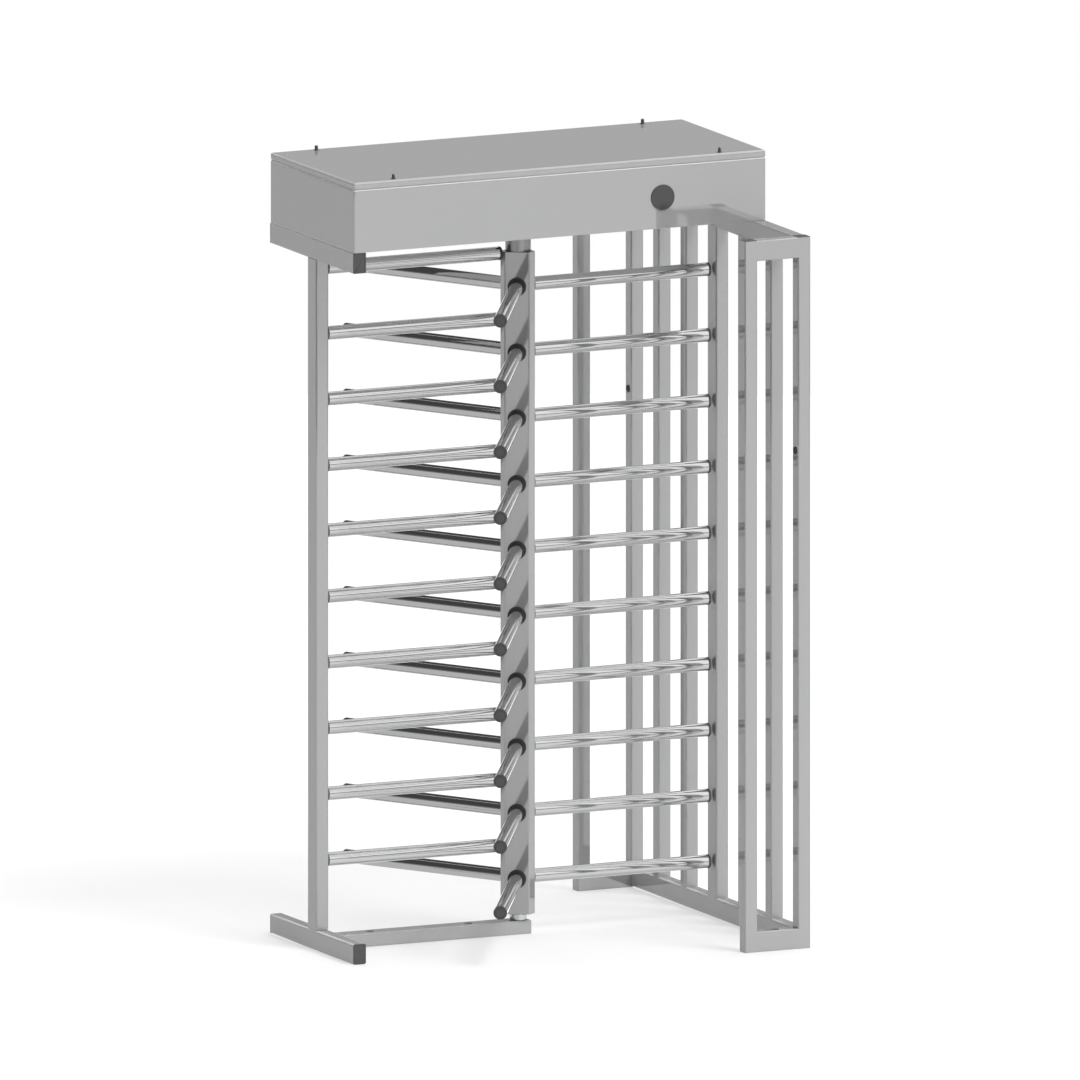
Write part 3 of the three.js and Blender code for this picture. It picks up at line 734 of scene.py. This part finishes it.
def makeSidePanel():
    low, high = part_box("guard_side_panel")
    rail = guardSet["rail"]
    spans = [(-guardSet["middlePost"] / 2, guardSet["middlePost"] / 2)]
    free = high.y - guardSet["middlePost"] / 2 - guardSet["postsEachSide"] * guardSet["post"]
    clear = free / (guardSet["postsEachSide"] + 1)
    start = guardSet["middlePost"] / 2
    for _ in range(guardSet["postsEachSide"]):
        start += clear
        end = start + guardSet["post"]
        spans += [(start, end), (-end, -start)]
        start = end
    root = rail - tubeSet["lyingCorner"]
    posts = [squareTube((low.x, a, low.z + root), (high.x, b, high.z - root), 2) for a, b in spans]
    newPiece("sidePanelPosts", merged(posts), satinUp, "stand", ["guard_side_panel"])
    bottomRail = squareTube(low, (high.x, high.y, low.z + rail), 1, tubeSet["lyingCorner"])
    newPiece("sidePanelBottomRail", bottomRail, satinAcross, "stand",
             bends=cornerHighlightAcross)
    topRail = squareTube((low.x, low.y, high.z - rail), high, 1)
    newPiece("sidePanelTopRail", topRail, satinAcross, "stand", bends=bendHighlightAcross)


def makeReturn(word):
    node = f"guard_{word}_return"
    low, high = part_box(node)
    post = guardSet["post"]
    corner = tubeSet["corner"]
    starts = (low.x, high.x - post)
    posts = [squareTube((x, low.y, low.z), (x + post, high.y, high.z), 2) for x in starts]
    rails = [
        squareTube((low.x + post - corner, low.y, bottom),
                   (high.x - post + corner, high.y, bottom + guardSet["rail"]), 0)
        for bottom in (low.z, high.z - guardSet["rail"])
    ]
    newPiece(word + "ReturnPosts", merged(posts), satinUp, "stand", [node])
    railPiece = newPiece(word + "ReturnRails", merged(rails), satinAlong, "stand",
                         bends=bendHighlight)
    boreAnchor(railPiece, (low.x + high.x) / 2, (low.y + high.y) / 2, guardSet["rail"])
    head = guardSet["plugHead"]
    inset = guardSet["plugInset"]
    plugs = []
    for x in starts:
        plug = block((x + inset, low.y + inset, high.z),
                     (x + post - inset, high.y - inset, high.z + head))
        roundEdges(plug, edgesAlong(plug, 2), corner, tubeSet["cornerSteps"])
        top = [e for e in sharpEdges(plug) if all(v.co.z > high.z + head / 2 for v in e.verts)]
        plugs.append(roundEdges(plug, top, guardSet["plugEdge"], guardSet["plugEdgeSteps"]))
    newPiece(word + "ReturnPlugs", merged(plugs), blackPlastic, "stand")


def makeGrommet(word):
    node = word + "_cable_grommet"
    low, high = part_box(node)
    place = middle(node)
    length = high.x - low.x
    rim = (high.y - low.y) / 2
    body = grommetSet["body"]
    flange = grommetSet["flange"]
    inner = grommetSet["bore"]
    shape = turned([
        (inner, 0), (rim, 0), (rim, flange), (body, flange), (body, length), (inner, length),
        (inner, 0),
    ], grommetSet["sides"], grommetSet["edge"])
    moved(shape, toX(low.x, place.y, place.z))
    newPiece(word + "GrommetRing", shape, ringPlastic, "stand", [node])


makeSidePanel()
for guardWord in ("front", "back"):
    makeReturn(guardWord)
    makeGrommet(guardWord)
print("guard cage made")


# Header: folded sheet case and lid, lid studs, indicator lenses
headerSet = {
    "sheet": 0.002, "bend": 0.006, "bendSteps": 6, "footBend": 0.0006, "footSteps": 2,
    "rimGap": 0.0003, "rimRise": 0.010, "rimSteps": 3, "hem": 0.008, "skirtGap": 0.0012,
    "shaftHole": 0.0435, "lensHole": 0.0343, "holeSides": 64,
}
studSet = {
    "height": 0.014, "radius": 0.0055, "root": 0.0047, "tip": 0.00376, "pitch": 0.00125,
    "sides": 28, "insetX": 0.138, "insetY": 0.022, "washerRadius": 0.0085, "washerHeight": 0.0012,
}
lensSet = {
    "body": 0.034, "flange": 0.003, "rim": 0.003, "rimDrop": 0.0006, "edge": 0.0008,
    "edgeDrop": 0.00072, "sideDrop": 0.0012, "sides": 64,
}


# A box of sheet without thickness, open above (1) or below (-1). With a hem, the sheet runs on
# inwards round the opening. The bends are round the top and at the corners.
def foldedBox(low, high, openSide, hem=0.0):
    shape = block(low, high)
    mouth = [f for f in shape.faces if f.normal.z * openSide > aligned]
    if hem:
        bmesh.ops.inset_region(shape, faces=mouth, thickness=hem, depth=0)
    bends = [e for e in sharpEdges(shape) if any(v.co.z > high[2] - samePlace for v in e.verts)]
    bmesh.ops.delete(shape, geom=mouth, context="FACES")
    # The bend faces that look up take slot 1, a painted highlight
    roundEdges(shape, bends, headerSet["bend"], headerSet["bendSteps"], 1)
    foot = [e for e in sharpEdges(shape) if all(v.co.z < low[2] + samePlace for v in e.verts)]
    return roundEdges(shape, foot, headerSet["footBend"], headerSet["footSteps"])


def wallLoop(low, high):        # four walls of sheet without thickness
    shape = block(low, high)
    corner = headerSet["bend"] - headerSet["sheet"]
    roundEdges(shape, edgesAlong(shape, 2), corner, headerSet["rimSteps"])
    ends = [f for f in shape.faces if abs(f.normal.z) > aligned]
    bmesh.ops.delete(shape, geom=ends, context="FACES")
    return shape


def thicken(piece):        # inwards, by the sheet
    wall = piece.modifiers.new("wall", "SOLIDIFY")
    wall.thickness = headerSet["sheet"]
    wall.offset = -1
    wall.use_even_offset = True
    applyModifiers(piece)


def makeCase():
    low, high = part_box("header_case")
    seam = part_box("header_lid")[0].z - headerSet["rimGap"]
    shell = foldedBox(low, (high.x, high.y, seam), 1, headerSet["hem"])
    case = newPiece("caseShell", shell, sheetAlong, "stand", ["header_case"],
                    caseBendHighlight)
    thicken(case)
    sides = headerSet["holeSides"]
    shaftHole = cylinder(headerSet["shaftHole"], low.z - cutReach, low.z + cutReach, sides)
    lensHoles = cylinder(headerSet["lensHole"], low.y - cutReach, high.y + cutReach, sides)
    lens = middle("front_indicator_lens")
    towardsBack = Matrix.Rotation(-halfTurn / 2, 4, "X")
    moved(lensHoles, Matrix.Translation((lens.x, 0, lens.z)) @ towardsBack)
    bore(case, shaftHole, lensHoles)
    inset = headerSet["sheet"] + headerSet["rimGap"]
    walls = wallLoop((low.x + inset, low.y + inset, seam),
                     (high.x - inset, high.y - inset, seam + headerSet["rimRise"]))
    thicken(newPiece("caseRim", walls, sheetAlong, "stand"))


def threadedStud():        # on its washer, which lies on the lid at zero
    length = studSet["height"]
    radius = studSet["radius"]
    root = studSet["root"]
    washer = studSet["washerRadius"]
    start = studSet["washerHeight"]
    turns = int(length / studSet["pitch"]) - 1
    step = (length - start - studSet["pitch"]) / turns
    profile = [(0, 0), (washer, 0), (washer, start), (root, start)]
    for turn in range(turns):
        profile.append((radius, start + (turn + 0.5) * step))
        profile.append((root, start + (turn + 1) * step))
    profile += [(studSet["tip"], length), (0, length)]
    return turned(profile, studSet["sides"])


def makeLid():
    low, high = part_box("header_lid")
    top = high.z - studSet["height"]
    skirt = foldedBox(low + up * headerSet["skirtGap"], (high.x, high.y, top), -1)
    thicken(newPiece("lidShell", skirt, sheetAlong, "stand", ["header_lid"],
                     bendHighlight))
    studX = high.x - studSet["insetX"]
    studY = high.y - studSet["insetY"]
    places = [(x, y, top) for x in (-studX, studX) for y in (-studY, studY)]
    studs = [moved(threadedStud(), Matrix.Translation(place)) for place in places]
    newPiece("lidStuds", merged(studs), machinedSteel, "stand")


def makeLens(word, side):
    node = word + "_indicator_lens"
    low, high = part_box(node)
    place = middle(node)
    radius = (high.x - low.x) / 2
    depth = high.y - low.y
    shape = turned([
        (0, 0), (radius - lensSet["rim"], lensSet["rimDrop"]),
        (radius - lensSet["edge"], lensSet["edgeDrop"]), (radius, lensSet["sideDrop"]),
        (radius, lensSet["flange"]), (lensSet["body"], lensSet["flange"]),
        (lensSet["body"], depth), (0, depth),
    ], lensSet["sides"])
    face = low.y if side < 0 else high.y
    turn = Matrix.Rotation(side * halfTurn / 2, 4, "X")
    moved(shape, Matrix.Translation((place.x, face, place.z)) @ turn)
    newPiece(word + "LensDisc", shape, lensPlastic, "stand", [node])


makeCase()
makeLid()
makeLens("front", -1)
makeLens("rear", 1)
print("header made")


# The mechanism keeps its solids and gets its finishes
def dressNodes():
    finishes = {
        "header_beam": insideSteel, "upper_bearing_housing": insideSteel, "stop_wheel": insideSteel,
        "rotor_gear": insideSteel, "drive_pinion": insideSteel, "lock_bolt_in": insideSteel,
        "lock_bolt_out": insideSteel, "drive_motor": greyEnamel, "twin_lock_solenoid": greyEnamel,
        "controller_box": casePlastic,
    }
    for name, finish in finishes.items():
        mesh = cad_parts[name].data
        mesh.materials.clear()
        mesh.materials.append(finish)


dressNodes()
print("mechanism dressed")


# Pale floor, white background, plain soft light
floorSet = {"radius": 9.0, "sides": 96, "tone": 0.9, "seenTone": 0.82, "glow": 0.5}
ambientSet = {"level": 0.49, "right": 0.62, "back": 0.9, "up": 0.68}
lampSet = {
    "key": {"strength": 1.9, "turn": -27, "height": 55, "softness": 24},
    "fill": {"strength": 0.7, "turn": 2, "height": 14, "softness": 45},
}
# What polished metal sees round the object: pale walls and floor, darker up and to the left
roomSet = {
    "bright": 1.0, "haze": 0.45, "window": 1.2, "wallDark": 0.06, "wallRise": 0.25,
    "floorNear": 0.82, "floorFar": 0.56, "floorBack": 1.6,
    "horizonShade": 0.62, "horizonMiddle": 0.02, "horizonWidth": 0.07,
    "horizonFrontRise": 0.08, "horizonFrontWidth": 0.08,
}
# Parts of that room: where each lies, and how far towards it the part begins and is full
roomParts = {
    "front": ((0.6, -0.8, 0.0), 0.3, 0.9),
    "back": ((0.42, 0.9, 0.0), 0.75, 0.97),
    "lowBack": ((0.0, 0.0, -1.0), 0.1, 0.16),
    "keySide": ((0.95, -0.3, 0.0), 0.09, 0.23),
    "window": ((-0.1, 0.9, 0.42), 0.95, 0.985),
    "upper": ((0.0, 0.0, 1.0), -0.02, 0.02),
    "clear": ((0.0, 0.0, 1.0), 0.08, 0.18),
    "highWall": ((0.0, 0.0, 1.0), 0.0, 0.3),
    "ahead": ((0.0, -1.0, 0.0), 0.2, 0.7),
}


def makeWorld():
    world = bpy.data.worlds.new("studio")
    bpy.context.scene.world = world
    graph = Graph(world)
    direction = graph.node("ShaderNodeTexCoord", output="Generated")
    x, y, z = graph.outputs("ShaderNodeSeparateXYZ", {"Vector": direction}, "X", "Y", "Z")

    def inside(part):
        (right, back, above), begins, full = roomParts[part]
        return (x * right + y * back + z * above).between(begins, full)

    below = inside("front") * (roomSet["floorNear"] - roomSet["floorFar"]) + roomSet["floorFar"]
    back = inside("back") * inside("lowBack")
    below = below + back * (roomSet["floorBack"] - roomSet["floorFar"])
    dark = (1 - inside("highWall")) * roomSet["wallRise"] + roomSet["wallDark"]
    lit = inside("clear") * (roomSet["bright"] - roomSet["haze"]) + roomSet["haze"]
    above = inside("keySide") * (lit - dark) + dark
    upper = inside("upper")
    ahead = inside("ahead")
    offset = z - ahead * roomSet["horizonFrontRise"] - roomSet["horizonMiddle"]
    width = ahead * roomSet["horizonFrontWidth"] + roomSet["horizonWidth"]
    horizon = 1 - (offset.absolute() / width).between(0.0, 1.0)
    level = (below * (1 - upper) + above * upper) * (1 - horizon * roomSet["horizonShade"])
    level = level + inside("window") * roomSet["window"]
    soft = x * ambientSet["right"] + y * ambientSet["back"] + z * ambientSet["up"]
    soft = (soft + ambientSet["level"]).atLeast(0.0)
    camera, glossy = graph.outputs("ShaderNodeLightPath", None, "Is Camera Ray", "Is Glossy Ray")
    strength = camera + (1 - camera) * (glossy * level + (1 - glossy) * soft)
    values = {"Color": grey(1.0), "Strength": strength}
    background = graph.node("ShaderNodeBackground", None, values)
    graph.node("ShaderNodeOutputWorld", None, {"Surface": background})


def makeLamp(name, look):
    light = bpy.data.lights.new(name, "SUN")
    light.energy = look["strength"]
    light.angle = math.radians(look["softness"])
    lamp = bpy.data.objects.new(name, light)
    turn = math.radians(look["turn"])
    height = math.radians(look["height"])
    source = Vector((-math.sin(turn), -math.cos(turn), 0)) * math.cos(height)
    source += up * math.sin(height)
    lamp.rotation_euler = (-source).to_track_quat("-Z", "Y").to_euler()
    lamp.visible_glossy = False
    bpy.context.scene.collection.objects.link(lamp)


def makeFloor():
    shape = bmesh.new()
    bmesh.ops.create_circle(
        shape, cap_ends=True, radius=floorSet["radius"], segments=floorSet["sides"],
    )
    mesh = bpy.data.meshes.new("studioFloor")
    shape.to_mesh(mesh)
    shape.free()
    floor = bpy.data.objects.new("studioFloor", mesh)
    bpy.context.scene.collection.objects.link(floor)
    material, graph = newMaterial("studioFloorPale")
    mesh.materials.append(material)
    camera, glossy = graph.outputs("ShaderNodeLightPath", None, "Is Camera Ray", "Is Glossy Ray")
    tone = graph.blend(camera, grey(floorSet["tone"]), grey(floorSet["seenTone"]))
    plain = graph.node("ShaderNodeBsdfDiffuse", None, {"Color": tone})
    glow = graph.node("ShaderNodeEmission", None, {"Color": grey(1.0), "Strength": 1.0})
    share = camera * floorSet["glow"]
    pale = graph.node("ShaderNodeMixShader", None, {0: share, 1: plain, 2: glow})
    clear = graph.node("ShaderNodeBsdfTransparent")
    graph.output(graph.node("ShaderNodeMixShader", None, {0: glossy, 1: pale, 2: clear}))


makeWorld()
for lampName, lampLook in lampSet.items():
    makeLamp(lampName, lampLook)
makeFloor()
bpy.context.scene.view_settings.view_transform = "Standard"
print("studio made")
